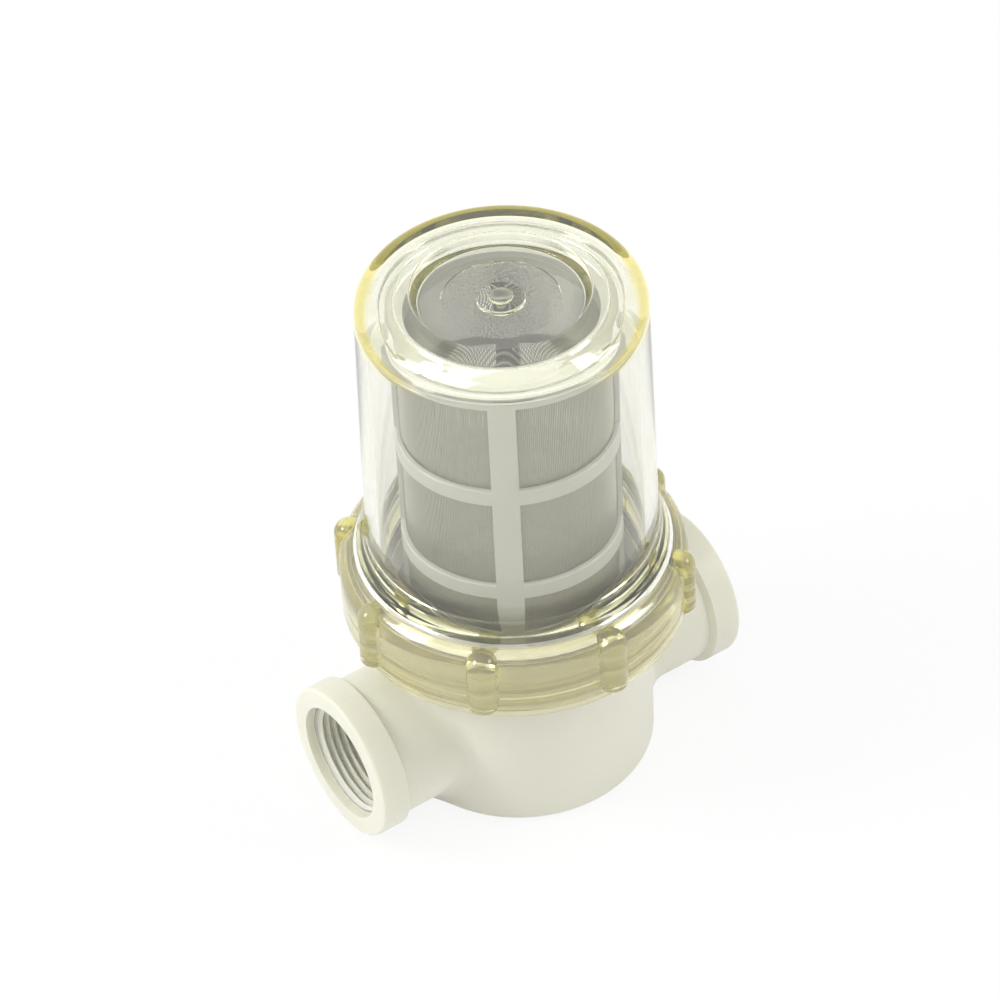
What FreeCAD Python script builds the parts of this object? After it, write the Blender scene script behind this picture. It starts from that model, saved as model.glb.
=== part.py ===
"""In-line sea water strainer: a white moulded body with two threaded ports, a clear bowl held
down by a clear ring nut, an O-ring, and a cylindrical screen that stands inside.

Millimetres, +Z up. The origin is the middle of the body's flat base, and the ports lie along X.
"""

import math
import os

import FreeCAD
import Part

# --- Ports: two female 1 inch pipe threads on one line ---
port_face_to_face = 126.0
port_height = 23.6              # centre line above the base
port_thread_r = 16.6            # wall at the thread's root
port_thread_length = 18.0
port_mouth_r = 17.4             # plain recess before the thread
port_mouth_depth = 2.6
port_passage_r = 13.3
collar_r = 23.3
collar_length = 8.9
collar_edge_round = 0.8
collar_step_chamfer = 0.9
neck_r = 21.3
neck_fillet = 6.0

# --- Body: a cup that carries the screen's well and the threaded neck ---
cup_wall = 3.2
cup_floor = 4.0
base_round = 2.7
rim_height = 68.5               # top of the threaded neck
neck_overhang = 6.8             # how far the neck stands out from the cup
neck_flare_start = 47.0         # where the cup starts to widen into the neck
neck_rim_wall = 1.6             # outside the O-ring's step
well_inset = 2.3                # in from the screen frame's outside
well_wall = 3.0
well_height = 48.6              # the screen stands on this edge
inlet_tube_wall = 2.7           # round the passage from the port to the well

# --- Coarse thread between the neck and the ring nut: cup, bowl, screen and nut follow its radius.
# Both walls are plain at the thread's roots, with its depth and clearance left between them ---
thread_root_r = 45.6
thread_depth = 1.4
thread_clearance = 0.3

# --- O-ring, in a step inside the neck's rim ---
o_ring_cord = 3.0
o_ring_squeeze_gap = 0.05
o_ring_side_clearance = 0.15
o_ring_seat_width = 3.3

# --- Bowl ---
bowl_wall = 3.2                 # at the top
bowl_draft = 1.6                # how much narrower the outside is at the top
bowl_top = 167.0
bowl_shoulder_round = 6.0
bowl_spigot_length = 6.5        # reaches down inside the neck
bowl_spigot_clearance = 0.2
bowl_spigot_wall = 2.9
bowl_spigot_inset = 0.9         # in from the outside above the flare
flange_inset = 0.1              # in from the neck's outside
flange_thickness = 4.2
flange_gap = 0.15               # above the neck's rim
flange_hub_inset = 1.2          # the hub stands inside the nut's lip
flange_hub_height = 5.75
flange_flare_height = 9.4
flange_flare_round = 16.7       # the hollow curve from the hub into the wall
crest_width = 15.1              # the flat ring round the recess, out to the bowl's outside
recess_wall_lean = 2.1
recess_depth = 3.6
disc_thickness = 2.4
disc_boss_r = 6.6
disc_boss_height = 0.8
disc_nub_r = 3.4
disc_nub_height = 0.8
skirt_inset = 1.8               # the skirt that holds the screen down, in from the frame's outside
skirt_outset = 1.6
skirt_lip_depth = 1.2           # its lip centres the frame
skirt_lip_clearance = 0.3
channel_drop = 7.2              # from the crest down to the ceiling round the skirt

# --- Ring nut ---
nut_lip_thickness = 3.2
nut_lip_gap = 0.1               # between the lip and the flange
nut_lip_clearance = 0.35        # round the bowl's hub
nut_lip_chamfer = 0.6
nut_wall = 2.8
nut_foot_draft = 0.7
nut_shoulder_round = 5.4
nut_height = 23.7
nut_rim_wall = 1.0
nut_rim_height = 2.6
lug_count = 8
lug_start_angle = 1.3           # degrees from +X
lug_r = 4.45
lug_inset = 2.4                 # the lug's middle, in from the nut's outside
lug_top_drop = 4.2              # from the nut's top to the dome's top
lug_foot_round = 1.0

# --- Screen ---
ring_height = 5.3               # the four rings are alike
window_height = 29.2
window_rows = 3
rib_count = 4
rib_width = 7.3
rib_start_angle = -35.8         # degrees from +X
frame_gap = 5.3                 # between the frame and the bowl
end_ring_wall = 4.3
hoop_wall = 1.4                 # hoops and ribs stand outside the mesh
mesh_wall = 0.6
mesh_seat_depth = 2.4           # how far the mesh runs into each end ring
mesh_clearance = 0.05
spigot_wall = 1.9
spigot_length = 5.5
spigot_clearance = 0.15
screen_top_gap = 0.2            # under the bowl's skirt

# --- Radii that follow from the sizes above ---
half_span = port_face_to_face / 2
cup_r = thread_root_r - neck_overhang
cup_bore_r = cup_r - cup_wall
thread_crest_r = thread_root_r + thread_depth
nut_bore_r = thread_crest_r + thread_clearance
nut_r = nut_bore_r + nut_wall
o_ring_seat_outer_r = thread_root_r - neck_rim_wall
o_ring_seat_inner_r = o_ring_seat_outer_r - o_ring_seat_width
bowl_spigot_r = o_ring_seat_inner_r - bowl_spigot_clearance
bowl_foot_r = bowl_spigot_r + bowl_spigot_inset
bowl_r = bowl_foot_r - bowl_draft
bowl_bore_r = bowl_r - bowl_wall
flange_r = thread_root_r - flange_inset
flange_hub_r = flange_r - flange_hub_inset
nut_lip_r = flange_hub_r + nut_lip_clearance
recess_rim_r = bowl_r - crest_width
recess_floor_r = recess_rim_r - recess_wall_lean
frame_r = bowl_bore_r - frame_gap
frame_bore_r = frame_r - end_ring_wall
well_r = frame_r - well_inset
well_bore_r = well_r - well_wall
mesh_r = frame_r - hoop_wall - mesh_clearance

# --- Levels that follow from the sizes above ---
flange_z = rim_height + flange_gap
flange_top_z = flange_z + flange_thickness
nut_top_z = flange_top_z + nut_lip_gap + nut_lip_thickness
nut_bottom_z = nut_top_z - nut_height
bowl_spigot_z = flange_z - bowl_spigot_length
recess_floor_z = bowl_top - recess_depth
screen_z = well_height
screen_height = (window_rows + 1) * ring_height + window_rows * window_height
screen_top_z = screen_z + screen_height

# --- Rounded corners of turned shapes are chords that leave the true arc by no more than this ---
chord_depth = 0.15

Z_AXIS = FreeCAD.Vector(0, 0, 1)
ORIGIN = FreeCAD.Vector(0, 0, 0)


def rounded(points):
    """Vectors in the XZ plane through (radius, height) points. A third value rounds that corner with chords."""
    count = len(points)
    corners = []
    for index, point in enumerate(points):
        here = FreeCAD.Vector(point[0], 0, point[1])
        if len(point) == 2:
            corners.append(here)
            continue
        before = FreeCAD.Vector(points[index - 1][0], 0, points[index - 1][1])
        after = FreeCAD.Vector(points[(index + 1) % count][0], 0, points[(index + 1) % count][1])
        corners.extend(corner_arc(before, here, after, point[2]))
    return corners


def corner_arc(before, here, after, radius):
    """Points along the arc that rounds a corner, close enough that no chord leaves it by chord_depth."""
    back = (before - here).normalize()
    ahead = (after - here).normalize()
    half_angle = back.getAngle(ahead) / 2
    centre = here + (back + ahead).normalize() * (radius / math.sin(half_angle))
    reach = radius / math.tan(half_angle)
    start = here + back * reach - centre
    end = here + ahead * reach - centre
    sweep = math.pi - 2 * half_angle
    widest_step = 2 * math.acos(1 - min(chord_depth / radius, 0.5))
    steps = math.ceil(sweep / widest_step)
    points = []
    for step in range(steps + 1):
        angle = sweep * step / steps
        spoke = start * math.sin(sweep - angle) + end * math.sin(angle)
        points.append(centre + spoke / math.sin(sweep))
    return points


def turned(points):
    """A solid of revolution about Z from an outline of (radius, height) points."""
    corners = rounded(points)
    face = Part.Face(Part.makePolygon(corners + [corners[0]]))
    return face.revolve(ORIGIN, Z_AXIS, 360)


def round_bar(radius, x_from, x_to):
    """A cylinder along the ports' centre line."""
    start = FreeCAD.Vector(x_from, 0, port_height)
    return Part.makeCylinder(radius, x_to - x_from, start, FreeCAD.Vector(1, 0, 0))


def port_blank():
    """One port's outside, along +X: the neck, and a collar with a rounded face and a chamfered step."""
    face = half_span
    step = face - collar_length
    collar = turned([
        (0, 0),
        (neck_r, 0),
        (neck_r, step - collar_step_chamfer),
        (collar_r, step + collar_step_chamfer / 2),
        (collar_r, face, collar_edge_round),
        (0, face),
    ])
    collar.rotate(ORIGIN, FreeCAD.Vector(0, 1, 0), 90)
    collar.translate(FreeCAD.Vector(0, 0, port_height))
    return collar


def mirrored(shape):
    """The same shape on the other side of the YZ plane."""
    return shape.mirror(ORIGIN, FreeCAD.Vector(1, 0, 0))


def body_outside():
    """The cup, its flare and neck, and both ports, with the ports' necks blended into the cup."""
    below = 3 * base_round
    barrel = Part.makeCylinder(cup_r, neck_flare_start + below, FreeCAD.Vector(0, 0, -below))
    port = port_blank()
    joined = barrel.fuse([port, mirrored(port)]).removeSplitter()
    seam = [edge for edge in joined.Edges if is_neck_seam(edge)]
    joined = joined.makeFillet(neck_fillet, seam)
    joined = joined.cut(Part.makeBox(400, 400, 100, FreeCAD.Vector(-200, -200, -100)))
    foot = [edge for edge in joined.Edges if is_base_edge(edge)]
    joined = joined.makeFillet(base_round, foot)
    neck = turned([
        (0, neck_flare_start - 1),
        (cup_r, neck_flare_start - 1),
        (cup_r, neck_flare_start),
        (thread_root_r, neck_flare_start + thread_root_r - cup_r),
        (thread_root_r, rim_height),
        (0, rim_height),
    ])
    return joined.fuse(neck).removeSplitter()


def is_neck_seam(edge):
    """Whether an edge is where a port's neck runs into the cup's wall."""
    box = edge.BoundBox
    on_wall = abs(math.hypot(edge.Vertexes[0].X, edge.Vertexes[0].Y) - cup_r) < 0.01
    return on_wall and box.ZMin > 0 and box.ZMax < neck_flare_start and box.XLength > 0.5


def is_base_edge(edge):
    """Whether an edge lies on the floor plane, at the foot of the cup's wall."""
    box = edge.BoundBox
    return abs(box.ZMin) < 0.001 and abs(box.ZMax) < 0.001


def make_body():
    """The white moulding: cup, ports, central well, the passage into it and the O-ring's step."""
    body = body_outside()
    o_ring_step_z = rim_height + flange_gap - o_ring_squeeze_gap - o_ring_cord
    hollow = turned([
        (0, cup_floor),
        (cup_bore_r, cup_floor, 3.0),
        (cup_bore_r, bowl_spigot_z - bowl_spigot_clearance - 4.0),
        (o_ring_seat_inner_r, bowl_spigot_z - bowl_spigot_clearance),
        (o_ring_seat_inner_r, o_ring_step_z),
        (o_ring_seat_outer_r, o_ring_step_z),
        (o_ring_seat_outer_r, rim_height + 1),
        (0, rim_height + 1),
    ])
    well = Part.makeCylinder(well_r, well_height - cup_floor + 1, FreeCAD.Vector(0, 0, cup_floor - 1))
    inlet_tube = round_bar(port_passage_r + inlet_tube_wall, -cup_bore_r - 1, -well_bore_r)
    body = body.cut(hollow).fuse([well, inlet_tube])
    well_bore = turned([
        (0, cup_floor),
        (well_bore_r, cup_floor, 3.0),
        (well_bore_r, well_height + 1),
        (0, well_height + 1),
    ])
    inlet = round_bar(port_passage_r, -half_span, 0)
    outlet = round_bar(port_passage_r, (well_r + cup_bore_r) / 2, half_span)
    threads = [bore_from_mouth(), mirrored(bore_from_mouth())]
    return body.cut([well_bore, inlet, outlet] + threads).removeSplitter()


def bore_from_mouth():
    """What the mouth and the thread take out of the +X port."""
    thread_end = half_span - port_mouth_depth - port_thread_length
    thread = round_bar(port_thread_r, thread_end, half_span)
    mouth = round_bar(port_mouth_r, half_span - port_mouth_depth, half_span + 1)
    return thread.fuse(mouth)


def make_o_ring():
    """A round rubber ring that lies round the bowl's spigot, in the neck's step."""
    inner_r = o_ring_seat_inner_r + o_ring_side_clearance
    outer_r = inner_r + o_ring_cord
    top_z = flange_z - o_ring_squeeze_gap
    bottom_z = top_z - o_ring_cord
    corner = o_ring_cord / 2 - 0.001
    return turned([
        (inner_r, bottom_z, corner),
        (outer_r, bottom_z, corner),
        (outer_r, top_z, corner),
        (inner_r, top_z, corner),
    ])


def flare_points():
    """The hollow curve from the bowl's wall down to the hub, as chords."""
    top_z = flange_top_z + flange_hub_height + flange_flare_height
    sweep = math.asin(flange_flare_height / flange_flare_round)
    steps = math.ceil(sweep / (2 * math.acos(1 - chord_depth / flange_flare_round)))
    reach = flange_flare_round * (1 - math.cos(sweep))
    points = []
    for step in range(steps, -1, -1):
        angle = sweep * step / steps
        out = (flange_hub_r - bowl_foot_r) * (1 - math.cos(angle)) * flange_flare_round / reach
        points.append((bowl_foot_r + out, top_z - flange_flare_round * math.sin(angle)))
    return points


def make_bowl():
    """The clear bowl: drafted wall, thick end with a recessed disc and a skirt for the screen, and flange."""
    foot_bore_r = bowl_spigot_r - bowl_spigot_wall
    skirt_z = screen_top_z + screen_top_gap
    skirt_r = frame_r - skirt_inset
    skirt_outer_r = frame_r + skirt_outset
    lip_r = frame_r + skirt_lip_clearance
    channel_z = bowl_top - channel_drop
    disc_z = recess_floor_z - disc_thickness
    boss_z = recess_floor_z + disc_boss_height
    return turned([
        (0, disc_z),
        (skirt_r - 0.2, disc_z, 0.8),
        (skirt_r, skirt_z),
        (lip_r, skirt_z),
        (lip_r, skirt_z - skirt_lip_depth),
        (skirt_outer_r, skirt_z - skirt_lip_depth, 0.4),
        (skirt_outer_r, channel_z, 1.0),
        (bowl_bore_r, channel_z, 2.0),
        (foot_bore_r, bowl_spigot_z),
        (bowl_spigot_r, bowl_spigot_z, 0.5),
        (bowl_spigot_r, flange_z),
        (flange_r, flange_z, 0.4),
        (flange_r, flange_top_z, 0.4),
        (flange_hub_r, flange_top_z),
    ] + flare_points() + [
        (bowl_r, bowl_top, bowl_shoulder_round),
        (recess_rim_r, bowl_top, 0.6),
        (recess_floor_r, recess_floor_z, 0.8),
        (disc_boss_r, recess_floor_z),
        (disc_boss_r, boss_z, 0.4),
        (disc_nub_r, boss_z),
        (disc_nub_r, boss_z + disc_nub_height, 0.5),
        (0, boss_z + disc_nub_height),
    ])


def make_lug():
    """One grip lug at angle 0: an upright half-round bar with a domed top."""
    dome_z = nut_top_z - lug_top_drop
    lug = turned([
        (0, nut_bottom_z),
        (lug_r, nut_bottom_z, lug_foot_round),
        (lug_r, dome_z, lug_r - 0.001),
        (0, dome_z),
    ])
    lug.translate(FreeCAD.Vector(nut_r - lug_inset, 0, 0))
    return lug


def make_ring_nut():
    """The clear nut: a rounded ring with eight lugs, and a lip that bears on the bowl's flange."""
    lip_z = nut_top_z - nut_lip_thickness
    step_z = nut_bottom_z + nut_rim_height
    ring = turned([
        (thread_root_r - 8, nut_bottom_z),
        (nut_bore_r + nut_rim_wall, nut_bottom_z, 0.4),
        (nut_bore_r + nut_rim_wall, step_z),
        (nut_r - nut_foot_draft, step_z + 0.6, 0.4),
        (nut_r, nut_top_z, nut_shoulder_round),
        (thread_root_r - 8, nut_top_z),
    ])
    lugs = []
    for index in range(lug_count):
        lug = make_lug()
        lug.rotate(ORIGIN, Z_AXIS, lug_start_angle + index * 360 / lug_count)
        lugs.append(lug)
    bore = turned([
        (0, nut_bottom_z - 1),
        (nut_bore_r, nut_bottom_z - 1),
        (nut_bore_r, lip_z, 0.8),
        (nut_lip_r, lip_z),
        (nut_lip_r, nut_top_z - nut_lip_chamfer),
        (nut_lip_r + nut_lip_chamfer, nut_top_z),
        (nut_lip_r + nut_lip_chamfer, nut_top_z + 1),
        (0, nut_top_z + 1),
    ])
    return ring.fuse(lugs).cut(bore).removeSplitter()


def make_screen_frame():
    """The white frame: end rings, hoops and ribs outside the mesh, and a spigot for the well."""
    inner_r = frame_r - hoop_wall
    rings = []
    for index in range(window_rows + 1):
        z = screen_z + index * (ring_height + window_height)
        is_end = index in (0, window_rows)
        bore_r = frame_bore_r if is_end else inner_r
        rings.append(turned([
            (bore_r, z),
            (frame_r, z, 0.5),
            (frame_r, z + ring_height, 0.5),
            (bore_r, z + ring_height),
        ]))
    ribs = []
    for index in range(rib_count):
        rib = make_rib(inner_r)
        rib.rotate(ORIGIN, Z_AXIS, rib_start_angle + index * 360 / rib_count)
        ribs.append(rib)
    spigot_r = well_bore_r - spigot_clearance
    spigot = turned([
        (spigot_r - spigot_wall, screen_z - spigot_length),
        (spigot_r, screen_z - spigot_length, 0.6),
        (spigot_r, screen_z),
        (frame_bore_r, screen_z),
        (frame_bore_r, screen_z + 1.5),
        (spigot_r - spigot_wall, screen_z + 1.5),
    ])
    frame = rings[0].fuse(rings[1:] + ribs + [spigot])
    return frame.cut(mesh_sleeve(0)).removeSplitter()


def make_rib(inner_r):
    """One upright rib at angle 0, curved like the rings that it joins."""
    ring = turned([
        (inner_r, screen_z + ring_height / 2),
        (frame_r, screen_z + ring_height / 2),
        (frame_r, screen_top_z - ring_height / 2),
        (inner_r, screen_top_z - ring_height / 2),
    ])
    slab = Part.makeBox(frame_r, rib_width, screen_height, FreeCAD.Vector(0, -rib_width / 2, screen_z))
    return ring.common(slab)


def mesh_sleeve(play):
    """A thin tube where the mesh lies, smaller all round by a play."""
    low = screen_z + ring_height - mesh_seat_depth + play
    high = screen_top_z - ring_height + mesh_seat_depth - play
    outer_r = mesh_r + mesh_clearance - play
    inner_r = mesh_r - mesh_wall - mesh_clearance + play
    return turned([(inner_r, low), (outer_r, low), (outer_r, high), (inner_r, high)])


def make_screen_mesh():
    """The woven wire sleeve, as a thin tube whose ends sit in grooves of the end rings."""
    return mesh_sleeve(mesh_clearance)


PARTS = {
    "body": make_body,
    "o_ring": make_o_ring,
    "bowl": make_bowl,
    "ring_nut": make_ring_nut,
    "screen_frame": make_screen_frame,
    "screen_mesh": make_screen_mesh,
}

os.makedirs("parts", exist_ok=True)
for name, make in PARTS.items():
    solid = make()
    solid.exportStep("parts/" + name + ".step")
    print(name, solid.ShapeType, len(solid.Solids), round(solid.Volume), solid.isValid())
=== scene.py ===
import math

import bmesh
import bpy
from mathutils import Matrix, Vector


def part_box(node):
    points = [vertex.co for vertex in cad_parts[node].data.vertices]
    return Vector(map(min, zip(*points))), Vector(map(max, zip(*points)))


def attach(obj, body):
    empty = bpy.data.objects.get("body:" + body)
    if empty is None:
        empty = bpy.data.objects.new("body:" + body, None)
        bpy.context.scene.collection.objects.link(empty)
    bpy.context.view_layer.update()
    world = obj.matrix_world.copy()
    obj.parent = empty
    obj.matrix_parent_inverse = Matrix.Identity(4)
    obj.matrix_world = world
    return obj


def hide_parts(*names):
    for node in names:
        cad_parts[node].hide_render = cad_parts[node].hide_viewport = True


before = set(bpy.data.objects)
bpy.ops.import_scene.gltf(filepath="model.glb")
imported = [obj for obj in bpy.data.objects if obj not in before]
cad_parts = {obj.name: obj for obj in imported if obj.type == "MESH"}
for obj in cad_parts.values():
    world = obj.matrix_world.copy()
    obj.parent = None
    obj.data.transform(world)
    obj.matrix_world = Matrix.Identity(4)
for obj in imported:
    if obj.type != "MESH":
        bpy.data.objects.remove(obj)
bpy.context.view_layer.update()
MM = 0.001


# --- Body: ivory satin plastic ----------------------------------------------------------------
# One moulding in an ivory plastic: the cup, the two ports and the neck under the nut. The mould
# closes on the ports' plane, so a fine seam runs along both ports and down the cup's sides.

def new_material(name):
    """A node material, with its tree and its Principled shader."""
    material = bpy.data.materials.new(name)
    material.use_nodes = True
    tree = material.node_tree
    return material, tree, tree.nodes["Principled BSDF"]


def new_group(name, inputs, outputs):
    """A shader group with float or colour sockets, and its inside ends."""
    group = bpy.data.node_groups.new(name, "ShaderNodeTree")
    for label, kind, value in inputs:
        socket = group.interface.new_socket(label, in_out="INPUT", socket_type=kind)
        socket.default_value = value
    for label, kind in outputs:
        group.interface.new_socket(label, in_out="OUTPUT", socket_type=kind)
    return group, group.nodes.new("NodeGroupInput"), group.nodes.new("NodeGroupOutput")


def add_node(tree, kind, values=None, **settings):
    """A node with its settings and the default values of its inputs."""
    node = tree.nodes.new(kind)
    for key, value in settings.items():
        setattr(node, key, value)
    for key, value in (values or {}).items():
        node.inputs[key].default_value = value
    return node


def make_moulded_group():
    """Soft mottling, uneven gloss, a fine skin and a mould seam, as on a moulded plastic."""
    floats = "NodeSocketFloat"
    group, given, result = new_group(
        "moulded_skin",
        [("Colour", "NodeSocketColor", (0.8, 0.8, 0.8, 1)), ("Mottle", floats, 0.03),
         ("Gloss From", floats, 0.35), ("Gloss To", floats, 0.5), ("Skin Height", floats, 0.00002),
         ("Seam Height", floats, 0.0)],
        [("Colour", "NodeSocketColor"), ("Roughness", floats), ("Normal", "NodeSocketVector")],
    )
    link = group.links.new
    place = add_node(group, "ShaderNodeTexCoord")
    clouds = add_node(group, "ShaderNodeTexNoise", {"Scale": 45.0, "Detail": 3.0})
    skin = add_node(group, "ShaderNodeTexNoise", {"Scale": 1400.0, "Detail": 2.0})
    link(place.outputs["Object"], clouds.inputs["Vector"])
    link(place.outputs["Object"], skin.inputs["Vector"])
    shade = add_node(group, "ShaderNodeMath", operation="MULTIPLY")
    link(clouds.outputs["Fac"], shade.inputs[0])
    link(given.outputs["Mottle"], shade.inputs[1])
    keep = add_node(group, "ShaderNodeMath", {0: 1.0}, operation="SUBTRACT")
    link(shade.outputs[0], keep.inputs[1])
    tint = add_node(group, "ShaderNodeVectorMath", operation="SCALE")
    link(given.outputs["Colour"], tint.inputs[0])
    link(keep.outputs[0], tint.inputs["Scale"])
    link(tint.outputs[0], result.inputs["Colour"])
    gloss = add_node(group, "ShaderNodeMapRange", {"From Min": 0.3, "From Max": 0.7})
    link(clouds.outputs["Fac"], gloss.inputs["Value"])
    link(given.outputs["Gloss From"], gloss.inputs["To Min"])
    link(given.outputs["Gloss To"], gloss.inputs["To Max"])
    link(gloss.outputs[0], result.inputs["Roughness"])
    bump = add_node(group, "ShaderNodeBump", {"Strength": 1.0})
    link(skin.outputs["Fac"], bump.inputs["Height"])
    link(given.outputs["Skin Height"], bump.inputs["Distance"])
    parts = add_node(group, "ShaderNodeSeparateXYZ")
    link(place.outputs["Object"], parts.inputs[0])
    aside = add_node(group, "ShaderNodeMath", operation="ABSOLUTE")
    link(parts.outputs["Y"], aside.inputs[0])
    line = add_node(group, "ShaderNodeMapRange",
                    {"From Min": 0.0001, "From Max": 0.0003, "To Min": 1.0, "To Max": 0.0})
    link(aside.outputs[0], line.inputs["Value"])
    seam = add_node(group, "ShaderNodeBump", {"Strength": 1.0})
    link(line.outputs[0], seam.inputs["Height"])
    link(given.outputs["Seam Height"], seam.inputs["Distance"])
    link(bump.outputs[0], seam.inputs["Normal"])
    link(seam.outputs[0], result.inputs["Normal"])
    return group


moulded_skin = make_moulded_group()


def moulded_plastic(name, colour, gloss, mottle, skin_height, seam_height=0.0):
    """An opaque plastic with the moulded skin."""
    material, tree, shader = new_material(name)
    skin = tree.nodes.new("ShaderNodeGroup")
    skin.node_tree = moulded_skin
    skin.inputs["Colour"].default_value = (*colour, 1)
    skin.inputs["Mottle"].default_value = mottle
    skin.inputs["Gloss From"].default_value = gloss[0]
    skin.inputs["Gloss To"].default_value = gloss[1]
    skin.inputs["Skin Height"].default_value = skin_height
    skin.inputs["Seam Height"].default_value = seam_height
    tree.links.new(skin.outputs["Colour"], shader.inputs["Base Color"])
    tree.links.new(skin.outputs["Roughness"], shader.inputs["Roughness"])
    tree.links.new(skin.outputs["Normal"], shader.inputs["Normal"])
    return material


def dress(piece, material):
    """Gives a piece its one material."""
    piece.data.materials.clear()
    piece.data.materials.append(material)


ivory_plastic = moulded_plastic("ivory_plastic", (0.82, 0.81, 0.69), (0.34, 0.46), 0.04, 0.00002, 0.00006)
ivory_shader = ivory_plastic.node_tree.nodes["Principled BSDF"]
ivory_shader.inputs["Subsurface Weight"].default_value = 0.35
ivory_shader.inputs["Subsurface Radius"].default_value = (1.0, 0.9, 0.6)
ivory_shader.inputs["Subsurface Scale"].default_value = 0.004
dress(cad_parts["body"], ivory_plastic)


# --- Pipe threads -----------------------------------------------------------------------------
# The ports are tapped with a fine pipe thread in the ivory plastic. Each thread is a skin of
# ridges that grows out of the plain wall of its bore.

PIPE_PITCH = 2.209 * MM
PIPE_RIDGE = 1.45 * MM
PIPE_LENGTH = 18.0 * MM
PIPE_MOUTH = 2.6 * MM
PIPE_WALL_R = 16.6 * MM
SUNK = 0.25 * MM                 # how far the thread's back lies inside the wall that carries it
port_height = (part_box("body")[0].z + 23.6 * MM)


def ridge_wave(away, crest, foot):
    """Height from 0 to 1 at a distance from a ridge's middle, for half widths of its crest and foot."""
    return min(1.0, max(0.0, (foot - abs(away)) / (foot - crest)))


def thread_skin(wall_r, ridge, back, length, pitch, around):
    """A closed skin along +Z: ridges stand on wall_r by ridge, and the plain back lies at back."""
    levels = round(length / pitch * 14)
    fade = pitch * 0.6
    mesh = bmesh.new()
    columns = []
    for step in range(around):
        angle = 2 * math.pi * step / around
        side = Vector((math.cos(angle), math.sin(angle), 0))
        column = []
        for level in range(levels + 1):
            z = length * level / levels
            ends = min(1.0, z / fade, (length - z) / fade)
            away = (z / pitch - step / around) % 1.0 - 0.5
            height = ridge_wave(away, 0.06, 0.44) * ends
            column.append(mesh.verts.new(side * (wall_r + ridge * height) + Vector((0, 0, z))))
        column.append(mesh.verts.new(side * back + Vector((0, 0, length))))
        column.append(mesh.verts.new(side * back))
        columns.append(column)
    for step in range(around):
        here, there = columns[step], columns[(step + 1) % around]
        for row in range(len(here)):
            following = (row + 1) % len(here)
            mesh.faces.new((here[row], there[row], there[following], here[following]))
    bmesh.ops.recalc_face_normals(mesh, faces=mesh.faces)
    return mesh


def finish_mesh(mesh, name, material, body, smooth_angle=35):
    """Turns a bmesh into a shaded piece that rides on a body."""
    data = bpy.data.meshes.new(name)
    mesh.to_mesh(data)
    mesh.free()
    data.shade_smooth()
    data.set_sharp_from_angle(angle=math.radians(smooth_angle))
    piece = bpy.data.objects.new(name, data)
    bpy.context.scene.collection.objects.link(piece)
    dress(piece, material)
    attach(piece, body)
    return piece


for side_name, side in (("inlet", -1), ("outlet", 1)):
    thread = thread_skin(PIPE_WALL_R, -PIPE_RIDGE, PIPE_WALL_R + SUNK, PIPE_LENGTH, PIPE_PITCH, 96)
    mouth_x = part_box("body")[1].x - PIPE_MOUTH
    turn = Matrix.Rotation(math.radians(-90 * side), 4, "Y")
    shift = Matrix.Translation((side * mouth_x, 0, port_height))
    bmesh.ops.transform(thread, matrix=shift @ turn, verts=thread.verts)
    bmesh.ops.recalc_face_normals(thread, faces=thread.faces)
    finish_mesh(thread, side_name + "_pipe_thread", ivory_plastic, "housing")


# --- Neck thread ------------------------------------------------------------------------------
# The neck under the nut carries a coarse thread in the same ivory plastic: one ridge that climbs
# nearly two turns out of the neck's plain wall and ends under its rim.

NECK_ROOT_R = 45.6
NECK_START = 57.5                # the ridge's height where it starts at +X
NECK_TURNS = 1.85
COARSE_PITCH = 5.0
COARSE_DEPTH = 1.4
COARSE_CREST = 0.7               # half widths of the ridge
COARSE_FOOT = 1.4
RUN_OUT = 0.02                   # turns over which a ridge's end runs out
END_DIP = 0.2                    # how far the run-out end dips into the wall
STEPS_A_TURN = 144


def make_neck_thread():
    """One closed ridge wound up the neck, with its back sunk in the wall and both ends run out."""
    mesh = bmesh.new()
    rings = []
    steps = round(NECK_TURNS * STEPS_A_TURN)
    back = NECK_ROOT_R - SUNK / MM
    for step in range(steps + 1):
        travelled = NECK_TURNS * step / steps
        angle = 2 * math.pi * travelled
        middle = NECK_START + COARSE_PITCH * travelled
        ends = min(1.0, travelled / RUN_OUT, (NECK_TURNS - travelled) / RUN_OUT)
        root = NECK_ROOT_R - END_DIP * (1 - ends)
        crest = NECK_ROOT_R + COARSE_DEPTH * ends - END_DIP * (1 - ends)
        ring = []
        for r, z in ((back, -COARSE_FOOT), (root, -COARSE_FOOT), (crest, -COARSE_CREST),
                     (crest, COARSE_CREST), (root, COARSE_FOOT), (back, COARSE_FOOT)):
            ring.append(mesh.verts.new(Vector((r * math.cos(angle), r * math.sin(angle), middle + z)) * MM))
        rings.append(ring)
    for here, there in zip(rings, rings[1:]):
        for row in range(len(here)):
            following = (row + 1) % len(here)
            mesh.faces.new((here[row], there[row], there[following], here[following]))
    mesh.faces.new(rings[0])
    mesh.faces.new(rings[-1])
    bmesh.ops.recalc_face_normals(mesh, faces=mesh.faces)
    return mesh


finish_mesh(make_neck_thread(), "neck_thread", ivory_plastic, "housing")


# --- Screen frame -----------------------------------------------------------------------------
# A white moulding that holds the wire sleeve: end rings, hoops and four ribs, in a brighter and
# slightly glossier plastic than the body.

frame_plastic = moulded_plastic("screen_plastic", (0.86, 0.86, 0.80), (0.3, 0.42), 0.03, 0.00001)
dress(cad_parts["screen_frame"], frame_plastic)


# --- Screen mesh ------------------------------------------------------------------------------
# A sleeve of woven stainless wire, fifty wires to the inch. Geometry Nodes lay the hoops and
# the upright wires at one pitch, half over each other as woven wire is.

WIRE_R = 0.15 * MM
WIRE_PITCH = 0.51 * MM


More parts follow.
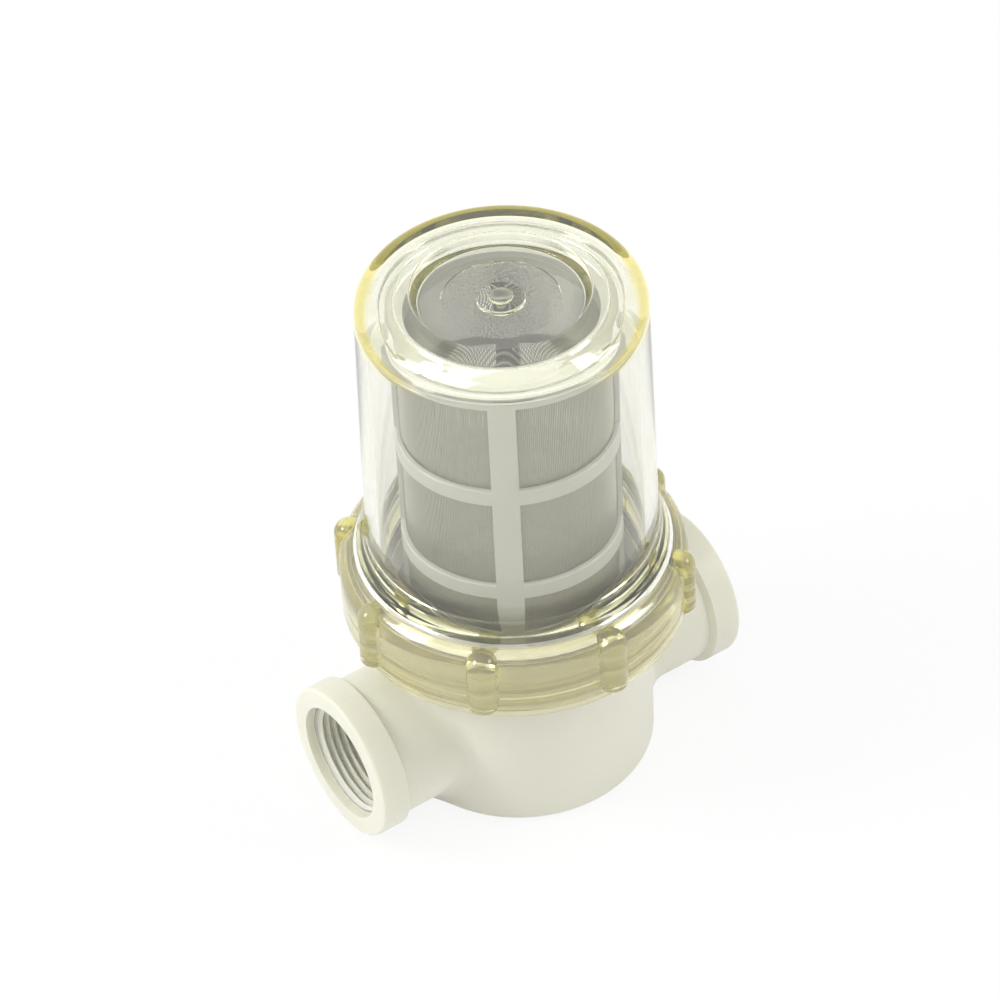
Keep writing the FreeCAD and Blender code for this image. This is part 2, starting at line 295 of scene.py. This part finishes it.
def group_input(tree, label, kind, value):
    """A named input of a geometry tree."""
    socket = tree.interface.new_socket(label, in_out="INPUT", socket_type=kind)
    socket.default_value = value
    return socket


def wire_tree(material):
    """Hoops stacked at a pitch and straight wires round the sleeve, realised as one mesh."""
    tree = bpy.data.node_groups.new("wire_sleeve", "GeometryNodeTree")
    tree.interface.new_socket("Geometry", in_out="OUTPUT", socket_type="NodeSocketGeometry")
    floats = "NodeSocketFloat"
    for label, value in (("Sleeve Radius", 0.03), ("Height", 0.1), ("Foot", 0.0),
                         ("Wire Radius", WIRE_R), ("Pitch", WIRE_PITCH)):
        group_input(tree, label, floats, value)
    group_input(tree, "Hoops", "NodeSocketInt", 10)
    group_input(tree, "Uprights", "NodeSocketInt", 10)
    given = tree.nodes.new("NodeGroupInput")
    result = tree.nodes.new("NodeGroupOutput")
    link = tree.links.new

    circle = add_node(tree, "GeometryNodeCurvePrimitiveCircle", {"Resolution": 80})
    link(given.outputs["Sleeve Radius"], circle.inputs["Radius"])
    section = add_node(tree, "GeometryNodeCurvePrimitiveCircle", {"Resolution": 4})
    link(given.outputs["Wire Radius"], section.inputs["Radius"])
    hoop = add_node(tree, "GeometryNodeCurveToMesh")
    link(circle.outputs["Curve"], hoop.inputs["Curve"])
    link(section.outputs["Curve"], hoop.inputs["Profile Curve"])
    rise = add_node(tree, "ShaderNodeCombineXYZ")
    link(given.outputs["Pitch"], rise.inputs["Z"])
    foot = add_node(tree, "ShaderNodeCombineXYZ")
    link(given.outputs["Foot"], foot.inputs["Z"])
    stack = add_node(tree, "GeometryNodeMeshLine", mode="OFFSET")
    link(given.outputs["Hoops"], stack.inputs["Count"])
    link(foot.outputs[0], stack.inputs["Start Location"])
    link(rise.outputs[0], stack.inputs["Offset"])
    hoops = add_node(tree, "GeometryNodeInstanceOnPoints")
    link(stack.outputs["Mesh"], hoops.inputs["Points"])
    link(hoop.outputs["Mesh"], hoops.inputs["Instance"])

    outer = add_node(tree, "ShaderNodeMath", operation="ADD")
    link(given.outputs["Sleeve Radius"], outer.inputs[0])
    link(given.outputs["Wire Radius"], outer.inputs[1])
    ring = add_node(tree, "GeometryNodeMeshCircle")
    link(given.outputs["Uprights"], ring.inputs["Vertices"])
    link(outer.outputs[0], ring.inputs["Radius"])
    stick = add_node(tree, "GeometryNodeMeshCylinder", {"Vertices": 6}, fill_type="NONE")
    link(given.outputs["Wire Radius"], stick.inputs["Radius"])
    link(given.outputs["Height"], stick.inputs["Depth"])
    sticks = add_node(tree, "GeometryNodeInstanceOnPoints")
    link(ring.outputs["Mesh"], sticks.inputs["Points"])
    link(stick.outputs["Mesh"], sticks.inputs["Instance"])
    middle = add_node(tree, "ShaderNodeMath", {1: 0.5, 2: 0.0}, operation="MULTIPLY_ADD")
    link(given.outputs["Height"], middle.inputs[0])
    link(given.outputs["Foot"], middle.inputs[2])
    lift = add_node(tree, "ShaderNodeCombineXYZ")
    link(middle.outputs[0], lift.inputs["Z"])
    raised = add_node(tree, "GeometryNodeTransform")
    link(sticks.outputs[0], raised.inputs["Geometry"])
    link(lift.outputs[0], raised.inputs["Translation"])

    both = add_node(tree, "GeometryNodeJoinGeometry")
    link(hoops.outputs[0], both.inputs[0])
    link(raised.outputs[0], both.inputs[0])
    real = add_node(tree, "GeometryNodeRealizeInstances")
    link(both.outputs[0], real.inputs[0])
    smooth = add_node(tree, "GeometryNodeSetShadeSmooth")
    link(real.outputs[0], smooth.inputs[0])
    painted = add_node(tree, "GeometryNodeSetMaterial", {"Material": material})
    link(smooth.outputs[0], painted.inputs[0])
    link(painted.outputs[0], result.inputs[0])
    return tree


def grow(name, tree, values, material, body):
    """Runs a geometry tree with those named values and keeps its plain mesh as a piece."""
    holder = bpy.data.objects.new(name + "_tree", bpy.data.meshes.new(name + "_tree"))
    bpy.context.scene.collection.objects.link(holder)
    modifier = holder.modifiers.new("grow", "NODES")
    modifier.node_group = tree
    for item in tree.interface.items_tree:
        if item.in_out == "INPUT" and item.name in values:
            modifier[item.identifier] = values[item.name]
    ready = holder.evaluated_get(bpy.context.evaluated_depsgraph_get())
    data = bpy.data.meshes.new_from_object(ready)
    data.name = name
    bpy.data.objects.remove(holder)
    piece = bpy.data.objects.new(name, data)
    bpy.context.scene.collection.objects.link(piece)
    dress(piece, material)
    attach(piece, body)
    return piece


steel_wire, wire_nodes, wire_shader = new_material("steel_wire")
wire_shader.inputs["Base Color"].default_value = (0.62, 0.615, 0.54, 1)
wire_shader.inputs["Metallic"].default_value = 1.0
wire_shader.inputs["Roughness"].default_value = 0.38

sleeve_low, sleeve_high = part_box("screen_mesh")
sleeve_r = sleeve_high.x - 2.5 * WIRE_R
sleeve_height = sleeve_high.z - sleeve_low.z
wires = grow("woven_wire", wire_tree(steel_wire), {
    "Sleeve Radius": sleeve_r,
    "Height": sleeve_height,
    "Foot": sleeve_low.z,
    "Wire Radius": WIRE_R,
    "Pitch": WIRE_PITCH,
    "Hoops": int(sleeve_height / WIRE_PITCH),
    "Uprights": round(2 * math.pi * sleeve_r / WIRE_PITCH),
}, steel_wire, "housing")
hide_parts("screen_mesh")


# --- O-ring -----------------------------------------------------------------------------------
# A black rubber cord ring in the step inside the neck's rim. The bowl's flange squeezes it flat on
# top, and the flat shows as a black band through the clear plastic.

FLANGE_DROP = 98.35              # from the bowl's crest down to the flange's underside
SQUEEZE = 0.02


def corner_points(before, here, after, radius, steps):
    """Points along the arc that rounds the corner at here."""
    back = (before - here).normalized()
    ahead = (after - here).normalized()
    half = back.angle(ahead) / 2
    centre = here + (back + ahead).normalized() * (radius / math.sin(half))
    start = here + back * (radius / math.tan(half)) - centre
    end = here + ahead * (radius / math.tan(half)) - centre
    sweep = math.pi - 2 * half
    points = []
    for step in range(steps + 1):
        angle = sweep * step / steps
        spoke = start * math.sin(sweep - angle) + end * math.sin(angle)
        points.append(centre + spoke / math.sin(sweep))
    return points


def smooth_outline(points, steps=8):
    """(radius, height) in millimetres to vectors in metres. A third value rounds that corner."""
    flat = [Vector((point[0], point[1])) for point in points]
    result = []
    for index, point in enumerate(points):
        if len(point) == 2:
            result.append(flat[index] * MM)
            continue
        after = flat[(index + 1) % len(flat)]
        arc = corner_points(flat[index - 1], flat[index], after, point[2], steps)
        result.extend(spot * MM for spot in arc)
    return result


def lathe(outline, around):
    """Spins an outline about Z. It either closes on itself or starts and ends on the axis."""
    mesh = bmesh.new()
    on_axis = outline[0].x < 1e-7
    columns = []
    poles = {}
    for step in range(around):
        angle = 2 * math.pi * step / around
        column = []
        for index, spot in enumerate(outline):
            if spot.x < 1e-7:
                if index not in poles:
                    poles[index] = mesh.verts.new((0, 0, spot.y))
                column.append(poles[index])
            else:
                column.append(mesh.verts.new((spot.x * math.cos(angle), spot.x * math.sin(angle), spot.y)))
        columns.append(column)
    rows = len(outline) - 1 if on_axis else len(outline)
    for step in range(around):
        here, there = columns[step], columns[(step + 1) % around]
        for row in range(rows):
            following = (row + 1) % len(outline)
            corners = [here[row], there[row], there[following], here[following]]
            unique = list(dict.fromkeys(corners))
            mesh.faces.new(unique)
    bmesh.ops.recalc_face_normals(mesh, faces=mesh.faces)
    return mesh


black_rubber = moulded_plastic("black_rubber", (0.012, 0.013, 0.012), (0.45, 0.6), 0.2, 0.00001)
ring_low, ring_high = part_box("o_ring")
cord_outer = ring_high.x / MM
cord_low = ring_low.z / MM
cord_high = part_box("bowl")[1].z / MM - FLANGE_DROP + SQUEEZE
cord_inner = cord_outer - (ring_high.z - ring_low.z) / MM
o_ring = lathe(smooth_outline([
    (cord_inner, cord_low, 0.9),
    (cord_outer, cord_low, 0.9),
    (cord_outer, cord_high, 0.7),
    (cord_inner, cord_high, 0.7),
]), 160)
o_ring = finish_mesh(o_ring, "rubber_ring", black_rubber, "housing")
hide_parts("o_ring")


# --- Bowl -------------------------------------------------------------------------------------
# One clear moulding with a faint yellow body colour that only shows where light travels far
# through it: the crest, the recess's edge and the flange. Where the crest's shoulder is seen on edge
# a painted yellow glow is added. The disc is pebbled round its boss. It is lathed finely here
# because its refraction shows every facet.

CLEAR_IOR = 1.58


def clear_plastic(name, tint, density, clarity, roughness):
    """Clear moulded plastic: refracting, a little milky, with a yellow absorption through its depth."""
    material, tree, shader = new_material(name)
    shader.inputs["Base Color"].default_value = (1, 1, 1, 1)
    shader.inputs["Roughness"].default_value = roughness
    shader.inputs["IOR"].default_value = CLEAR_IOR
    shader.inputs["Transmission Weight"].default_value = clarity
    depth = add_node(tree, "ShaderNodeVolumeAbsorption", {"Color": (*tint, 1), "Density": density})
    output = tree.nodes["Material Output"]
    tree.links.new(depth.outputs[0], output.inputs["Volume"])
    return material, tree, shader


def places(tree):
    """Sockets for where a point is: its place, its distance from the axis and its height."""
    link = tree.links.new
    place = add_node(tree, "ShaderNodeTexCoord")
    parts = add_node(tree, "ShaderNodeSeparateXYZ")
    link(place.outputs["Object"], parts.inputs[0])
    flat = add_node(tree, "ShaderNodeCombineXYZ")
    link(parts.outputs["X"], flat.inputs["X"])
    link(parts.outputs["Y"], flat.inputs["Y"])
    reach = add_node(tree, "ShaderNodeVectorMath", operation="LENGTH")
    link(flat.outputs[0], reach.inputs[0])
    return place.outputs["Object"], reach.outputs["Value"], parts.outputs["Z"]


def pebble(tree, shader, inner_r, outer_r, low_z):
    """A pebbled grain on what lies above low_z, between two radii."""
    link = tree.links.new
    place, reach, height_up = places(tree)
    grain = add_node(tree, "ShaderNodeTexVoronoi", {"Scale": 1100.0})
    link(place, grain.inputs["Vector"])
    height = grain.outputs["Distance"]
    for value, edge, keep_above in ((reach, inner_r, True), (reach, outer_r, False),
                                    (height_up, low_z, True)):
        kind = "GREATER_THAN" if keep_above else "LESS_THAN"
        inside = add_node(tree, "ShaderNodeMath", {1: edge}, operation=kind)
        link(value, inside.inputs[0])
        masked = add_node(tree, "ShaderNodeMath", operation="MULTIPLY")
        link(height, masked.inputs[0])
        link(inside.outputs[0], masked.inputs[1])
        height = masked.outputs[0]
    bump = add_node(tree, "ShaderNodeBump", {"Strength": 1.0, "Distance": 0.00025})
    link(height, bump.inputs["Height"])
    link(bump.outputs[0], shader.inputs["Normal"])


def yellow_tint_and_painted_glow(tree, shader, inner_r, low_z):
    """Yellow where the rolled shoulder is seen on edge: a base colour tint for the plastic's own yellow along
    long paths, and a painted yellow glow in Emission Color that stands in for light that came far through the
    wall.
    """
    link = tree.links.new
    _, reach, height_up = places(tree)
    turned_away = add_node(tree, "ShaderNodeLayerWeight", {"Blend": 0.5})
    tint_and_glow_mask = None
    for value, start, end in ((turned_away.outputs["Facing"], 0.31, 0.47),
                              (reach, inner_r, inner_r + 0.0008),
                              (height_up, low_z - 0.005, low_z + 0.001)):
        ramp = add_node(tree, "ShaderNodeMapRange", {"From Min": start, "From Max": end},
                        interpolation_type="SMOOTHSTEP")
        link(value, ramp.inputs["Value"])
        if tint_and_glow_mask is None:
            tint_and_glow_mask = ramp.outputs[0]
            continue
        both = add_node(tree, "ShaderNodeMath", operation="MULTIPLY")
        link(tint_and_glow_mask, both.inputs[0])
        link(ramp.outputs[0], both.inputs[1])
        tint_and_glow_mask = both.outputs[0]
    # Base Color tints with the plastic's own yellow; Emission Color is a painted yellow glow, so the
    # shoulder's edge gives off light though it is no lamp.
    for socket, plain, edge in (("Base Color", (1, 1, 1, 1), (0.36, 0.31, 0.12, 1)),
                                ("Emission Color", (0, 0, 0, 1), (0.3, 0.26, 0.035, 1))):
        colour = add_node(tree, "ShaderNodeMix", {6: plain, 7: edge}, data_type="RGBA")
        link(tint_and_glow_mask, colour.inputs[0])
        link(colour.outputs[2], shader.inputs[socket])
    shader.inputs["Emission Strength"].default_value = 1.0


clear_bowl, clear_tree, clear_shader = clear_plastic("clear_bowl", (0.96, 0.965, 0.45), 20.0, 0.97, 0.015)
RECESS_DEPTH = 3.6
DISC_THICKNESS = 2.4
SKIRT_DROP = 10.6                # from the crest down to the foot of the skirt
CHANNEL_DROP = 7.2               # from the crest down to the ceiling outside the skirt
SKIRT_LIP = 1.2
FLANGE_THICKNESS = 4.2
PEBBLE_INNER_R = 6.8
PEBBLE_OUTER_R = 16.2
PEBBLE_SUNK = 0.15
bowl_low, bowl_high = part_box("bowl")
bowl_top = bowl_high.z / MM
bowl_foot = bowl_low.z / MM
flange_z = bowl_top - FLANGE_DROP
recess_floor = bowl_top - RECESS_DEPTH
skirt_foot = bowl_top - SKIRT_DROP
channel_ceiling = bowl_top - CHANNEL_DROP
# The shoulder's edge gets the plastic's yellow tint and a painted yellow glow.
yellow_tint_and_painted_glow(clear_tree, clear_shader, 33.9 * MM, (bowl_top - 6.0) * MM)
pebble(clear_tree, clear_shader, PEBBLE_INNER_R * MM, PEBBLE_OUTER_R * MM, (recess_floor - 0.2) * MM)

FLARE_R = 16.7
FLARE_HEIGHT = 9.4
FLARE_REACH = 2.9
FLARE_DROP = 79.0                # from the crest down to the top of the flare
FLARE_STEPS = 14
WALL_FOOT_R = 41.4
flare = []
flare_sweep = math.asin(FLARE_HEIGHT / FLARE_R)
for step in range(FLARE_STEPS, -1, -1):
    angle = flare_sweep * step / FLARE_STEPS
    out = FLARE_REACH * (1 - math.cos(angle)) / (1 - math.cos(flare_sweep))
    flare.append((WALL_FOOT_R + out, bowl_top - FLARE_DROP - FLARE_R * math.sin(angle)))

bowl = lathe(smooth_outline([
    (0, recess_floor - DISC_THICKNESS),
    (29.3, recess_floor - DISC_THICKNESS, 0.8),
    (29.5, skirt_foot + SKIRT_LIP),
    (31.6, skirt_foot + SKIRT_LIP),
    (31.6, skirt_foot),
    (32.9, skirt_foot, 0.4),
    (32.9, channel_ceiling, 0.3),
    (36.6, channel_ceiling, 3.3),
    (37.6, bowl_foot),
    (40.5, bowl_foot, 0.5),
    (40.5, flange_z),
    (45.5, flange_z, 0.4),
    (45.5, flange_z + FLANGE_THICKNESS, 0.4),
    (44.3, flange_z + FLANGE_THICKNESS),
] + flare + [
    (39.8, bowl_top, 6.0),
    (24.7, bowl_top, 0.6),
    (22.6, recess_floor, 0.8),
    (16.4, recess_floor),
    (PEBBLE_OUTER_R, recess_floor - PEBBLE_SUNK),
    (PEBBLE_INNER_R, recess_floor - PEBBLE_SUNK),
    (6.6, recess_floor),
    (6.6, recess_floor + 0.8, 0.4),
    (3.4, recess_floor + 0.8),
    (3.4, recess_floor + 1.6, 0.5),
    (0, recess_floor + 1.6),
]), 256)
bowl = finish_mesh(bowl, "bowl_shell", clear_bowl, "clear_bowl")
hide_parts("bowl")


# --- Ring nut ---------------------------------------------------------------------------------
# One clear moulding in the bowl's plastic: a rounded ring with eight domed grip lugs and a
# coarse thread inside that meshes with the neck's. The lip bears on the bowl's flange.

NUT_TOP = 76.15
NUT_FOOT = 52.45
NUT_BORE = 47.3
NUT_LIP = 44.65
NUT_SHOULDER = 6.6
LIP_UNDERSIDE = 72.95
LUG_R = 4.45
LUG_CENTRE_R = 47.68
LUG_TOP = 76.1
LUG_FOOT = 56.0
LUG_COUNT = 8
LUG_START = math.radians(-0.7)
COARSE_START = 55.0              # the ridge's height where it starts at +X
COARSE_TURNS = 2.3


def bore_column(angle):
    """The bore at an angle, from top to foot: corners that climb with the thread round the nut."""
    column = []
    for turn in range(5, -3, -1):
        travelled = angle / (2 * math.pi) + turn
        middle = COARSE_START + COARSE_PITCH * travelled
        ends = min(1.0, max(0.0, travelled / RUN_OUT), max(0.0, (COARSE_TURNS - travelled) / RUN_OUT))
        for away in (2.5, COARSE_FOOT, COARSE_CREST, 0.0, -COARSE_CREST, -COARSE_FOOT):
            height = ridge_wave(away, COARSE_CREST, COARSE_FOOT) * ends
            z = min(LIP_UNDERSIDE - 0.9, max(NUT_FOOT, middle + away))
            column.append(Vector((NUT_BORE - COARSE_DEPTH * height, z)) * MM)
    return column


def make_ring():
    """The nut without its lugs: a turned outside and lip, closed by the threaded bore."""
    section = smooth_outline([
        (NUT_BORE, NUT_FOOT),
        (48.3, NUT_FOOT, 0.4),
        (48.3, LUG_FOOT),
        (49.7, LUG_FOOT, 0.3),
        (49.7, NUT_TOP, NUT_SHOULDER),
        (NUT_LIP + 0.6, NUT_TOP),
        (NUT_LIP, NUT_TOP - 0.6),
        (NUT_LIP, LIP_UNDERSIDE),
        (NUT_BORE, LIP_UNDERSIDE, 0.8),
        (NUT_BORE, NUT_FOOT),
    ], 10)[:-1]
    mesh = bmesh.new()
    columns = []
    around = 2 * STEPS_A_TURN
    for step in range(around + 1):
        angle = 2 * math.pi * step / around
        column = section + bore_column(angle)
        turned = [(spot.x * math.cos(angle), spot.x * math.sin(angle), spot.y) for spot in column]
        columns.append([mesh.verts.new(spot) for spot in turned])
    for here, there in zip(columns, columns[1:]):
        for row in range(len(here)):
            following = (row + 1) % len(here)
            mesh.faces.new((here[row], there[row], there[following], here[following]))
    bmesh.ops.remove_doubles(mesh, verts=mesh.verts, dist=1e-6)
    bmesh.ops.dissolve_degenerate(mesh, edges=mesh.edges, dist=1e-7)
    bmesh.ops.recalc_face_normals(mesh, faces=mesh.faces)
    return mesh


def make_lugs():
    """Eight upright bars with domed tops, which start inside the ring's wall."""
    together = bmesh.new()
    for index in range(LUG_COUNT):
        lug = lathe(smooth_outline([
            (0, LUG_FOOT + 0.05),
            (LUG_R, LUG_FOOT + 0.05, 0.8),
            (LUG_R, LUG_TOP, LUG_R - 0.001),
            (0, LUG_TOP),
        ], 10), 40)
        angle = LUG_START + 2 * math.pi * index / LUG_COUNT
        place = Matrix.Rotation(angle, 4, "Z") @ Matrix.Translation((LUG_CENTRE_R * MM, 0, 0))
        bmesh.ops.transform(lug, matrix=place, verts=lug.verts)
        data = bpy.data.meshes.new("lug")
        lug.to_mesh(data)
        lug.free()
        together.from_mesh(data)
        bpy.data.meshes.remove(data)
    return together


def united(first, second):
    """One mesh from two that cross, without the walls inside."""
    holders = []
    for mesh in (first, second):
        data = bpy.data.meshes.new("blank")
        mesh.to_mesh(data)
        mesh.free()
        holder = bpy.data.objects.new("blank", data)
        bpy.context.scene.collection.objects.link(holder)
        holders.append(holder)
    join = holders[0].modifiers.new("join", "BOOLEAN")
    join.operation = "UNION"
    join.solver = "EXACT"
    join.object = holders[1]
    ready = holders[0].evaluated_get(bpy.context.evaluated_depsgraph_get())
    result = bmesh.new()
    result.from_mesh(ready.data)
    for holder in holders:
        bpy.data.meshes.remove(holder.data)
    return result


clear_nut, _, nut_shader = clear_plastic("clear_nut", (0.99, 0.965, 0.45), 85.0, 0.85, 0.05)
nut_shader.inputs["Base Color"].default_value = (1.0, 0.97, 0.80, 1)
nut = finish_mesh(united(make_ring(), make_lugs()), "nut_ring", clear_nut, "nut", 32)
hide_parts("ring_nut")


# --- Floor, light and camera ------------------------------------------------------------------
# A white floor that runs out of view, a pale sky all round, one large soft lamp overhead and two
# small ones at the sides.

FLOOR_HALF = 4.0
floor_mesh = bpy.data.meshes.new("floor")
floor_corners = [(x * FLOOR_HALF, y * FLOOR_HALF, 0) for x, y in ((-1, -1), (1, -1), (1, 1), (-1, 1))]
floor_mesh.from_pydata(floor_corners, [], [(0, 1, 2, 3)])
floor = bpy.data.objects.new("floor", floor_mesh)
bpy.context.scene.collection.objects.link(floor)
floor.location.z = -0.0002


def seen_directly(tree):
    """A socket that is 1 for rays from the camera, off metal or gloss, and through clear pieces."""
    rays = add_node(tree, "ShaderNodeLightPath")
    either = add_node(tree, "ShaderNodeMath", operation="MAXIMUM")
    any_of = add_node(tree, "ShaderNodeMath", operation="MAXIMUM")
    tree.links.new(rays.outputs["Is Camera Ray"], either.inputs[0])
    tree.links.new(rays.outputs["Is Transmission Ray"], either.inputs[1])
    tree.links.new(either.outputs[0], any_of.inputs[0])
    tree.links.new(rays.outputs["Is Glossy Ray"], any_of.inputs[1])
    return any_of.outputs[0]


paper, paper_tree, paper_shader = new_material("white_paper")
paper_shader.inputs["Base Color"].default_value = (0.9, 0.9, 0.9, 1)
paper_shader.inputs["Roughness"].default_value = 0.9
paper_glow = add_node(paper_tree, "ShaderNodeEmission", {"Color": (1, 1, 1, 1), "Strength": 1.0})
paper_mix = add_node(paper_tree, "ShaderNodeMixShader")
share = add_node(paper_tree, "ShaderNodeMath", {1: 0.88}, operation="MULTIPLY")
link = paper_tree.links.new
link(seen_directly(paper_tree), share.inputs[0])
link(share.outputs[0], paper_mix.inputs[0])
link(paper_shader.outputs[0], paper_mix.inputs[1])
link(paper_glow.outputs[0], paper_mix.inputs[2])
link(paper_mix.outputs[0], paper_tree.nodes["Material Output"].inputs["Surface"])
dress(floor, paper)

world = bpy.data.worlds.new("studio")
bpy.context.scene.world = world
world.use_nodes = True
sky_tree = world.node_tree
sky = sky_tree.nodes["Background"]
sky.inputs["Color"].default_value = (1, 1, 1, 1)
sky.inputs["Strength"].default_value = 0.6
bright_sky = add_node(sky_tree, "ShaderNodeBackground", {"Color": (1, 1, 1, 1), "Strength": 1.0})
sky_mix = add_node(sky_tree, "ShaderNodeMixShader")
link = sky_tree.links.new
link(seen_directly(sky_tree), sky_mix.inputs[0])
link(sky.outputs[0], sky_mix.inputs[1])
link(bright_sky.outputs[0], sky_mix.inputs[2])
link(sky_mix.outputs[0], sky_tree.nodes["World Output"].inputs["Surface"])


def soft_lamp(name, where, size, power):
    """A square lamp aimed at the object's middle."""
    data = bpy.data.lights.new(name, "AREA")
    data.size = size
    data.energy = power
    lamp = bpy.data.objects.new(name, data)
    lamp.location = where
    lamp.rotation_euler = (Vector((0, 0, 0.08)) - Vector(where)).to_track_quat("-Z", "Y").to_euler()
    bpy.context.scene.collection.objects.link(lamp)


soft_lamp("overhead", (-0.35, 0.25, 1.5), 2.6, 9.0)
soft_lamp("left_box", (-1.05, 0.45, 1.0), 0.5, 9.0)
soft_lamp("right_box", (0.95, -0.75, 0.95), 0.5, 5.0)

CAMERA_AZIMUTH = math.radians(-33.0)     # from straight in front, as seen from above
CAMERA_PITCH = math.radians(42.426)
CAMERA_ROLL = math.radians(-3.03)
CAMERA_DISTANCE = 1.1568
CAMERA_AIM = Vector((-0.0026, 0.0017, 0.0904))
lens = bpy.data.cameras.new("camera")
lens.sensor_width = 36.0
lens.lens = 148.5
camera = bpy.data.objects.new("camera", lens)
bpy.context.scene.collection.objects.link(camera)
ahead = Vector((
    -math.sin(CAMERA_AZIMUTH) * math.cos(CAMERA_PITCH),
    math.cos(CAMERA_AZIMUTH) * math.cos(CAMERA_PITCH),
    -math.sin(CAMERA_PITCH),
))
camera.location = CAMERA_AIM - ahead * CAMERA_DISTANCE
aimed = ahead.to_track_quat("-Z", "Y").to_matrix()
camera.rotation_euler = (aimed @ Matrix.Rotation(CAMERA_ROLL, 3, "Z")).to_euler()
scene = bpy.context.scene
scene.camera = camera
scene.view_settings.view_transform = "Standard"
scene.cycles.max_bounces = 128
scene.cycles.glossy_bounces = 96
scene.cycles.transmission_bounces = 96
